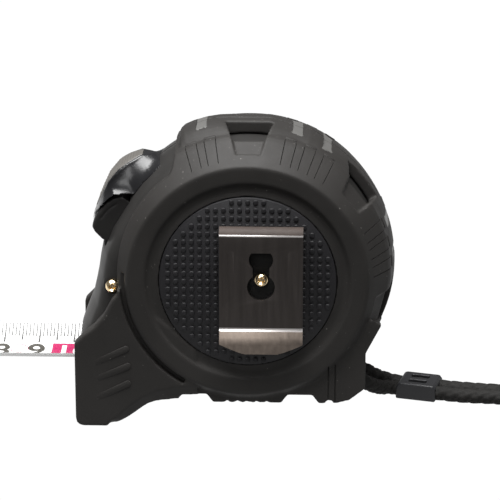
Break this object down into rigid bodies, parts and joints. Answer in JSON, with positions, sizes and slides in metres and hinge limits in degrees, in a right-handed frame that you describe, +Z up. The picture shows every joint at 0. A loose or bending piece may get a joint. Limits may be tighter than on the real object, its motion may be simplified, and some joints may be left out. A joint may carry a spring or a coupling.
{
  "type": "tape measure",
  "caption": "Pocket tape measure with a rubber-covered round case, a steel blade run out and locked, a slide lock, a belt clip and a wrist lanyard.",
  "frame": {"origin": "centre of the flat tread under the round case, straight below the case's centre", "axes": "+X towards the lanyard, so the blade leaves towards -X; +Y away from the belt clip side; +Z up"},
  "size_m": [0.3221, 0.0471, 0.0846],
  "materials": {
    "shell": "polished black ABS",
    "jacket": "fine matte overmoulded rubber",
    "side_disc": "matte with small raised dots",
    "spring_steel": "plain rolled spring steel",
    "inner_plastic": "natural acetal",
    "blade": "white enamel under a clear coat",
    "hook_steel": "bright plated steel",
    "lock": "polished black ABS",
    "thumb_pad": "worn matte grip",
    "brake_rubber": "matte",
    "button": "fine matte texture",
    "screws": "pale yellow zinc plate",
    "clip_steel": "brushed, smoked plating",
    "bead": "satin",
    "cord": "black braided polyester"
  },
  "bodies": {
    "case": {"near_shell": "shell", "far_shell": "shell", "near_jacket": "jacket", "far_jacket": "jacket", "near_disc": "side_disc", "far_disc": "side_disc", "reel_axle": "spring_steel", "near_washer": "inner_plastic", "far_washer": "inner_plastic", "blade_guide": "inner_plastic", "button_spring": "spring_steel", "nose_screw": "screws", "foot_screw": "screws", "heel_screw": "screws", "clip_screw": "screws", "belt_clip": "clip_steel", "strap_post": "spring_steel", "lanyard_far_leg": "cord", "lanyard_near_leg": "cord", "lanyard_loop": "cord"},
    "reel": {"reel_drum": "inner_plastic", "spring_cover": "inner_plastic", "power_spring": "spring_steel", "coiled_blade": "blade"},
    "blade": {"blade_strip": "blade", "front_hook_rivet": "hook_steel", "rear_hook_rivet": "hook_steel"},
    "hook": {"end_hook": "hook_steel"},
    "lock": {"lock_slider": "lock", "thumb_pad": "thumb_pad", "lock_tongue": "lock", "brake_shoe": "brake_rubber"},
    "button": {"stop_button": "button"},
    "bead": {"cord_bead": "bead"}
  },
  "joints": [
    {"name": "blade_slide", "type": "slide", "parent": "case", "child": "blade", "axis": [-1, 0, 0], "range_m": [-0.1013, 0], "deforming": ["blade_strip"]},
    {"name": "reel_spin", "type": "hinge", "parent": "case", "child": "reel", "pos_m": [0.0038, 0, 0.0381], "axis": [0, 1, 0], "range_deg": [-210, 0]},
    {"name": "hook_play", "type": "slide", "parent": "blade", "child": "hook", "axis": [-1, 0, 0], "range_m": [-0.001, 0]},
    {"name": "lock_slide", "type": "hinge", "parent": "case", "child": "lock", "pos_m": [0, 0, 0.0367], "axis": [0, 1, 0], "range_deg": [0, 7.5]},
    {"name": "button_press", "type": "slide", "parent": "case", "child": "button", "axis": [0.9397, 0, -0.342], "range_m": [0, 0.0013], "stiffness_N_per_m": 600, "springref_m": -0.001, "deforming": ["button_spring"]},
    {"name": "bead_slide", "type": "slide", "parent": "case", "child": "bead", "axis": [0.9673, -0.2538, 0], "range_m": [0, 0.012], "deforming": ["lanyard_loop", "lanyard_far_leg", "lanyard_near_leg"]}
  ],
  "couplings": [
    {"joint": "reel_spin", "follows": "blade_slide", "rad_per_m": 35.714}
  ]
}
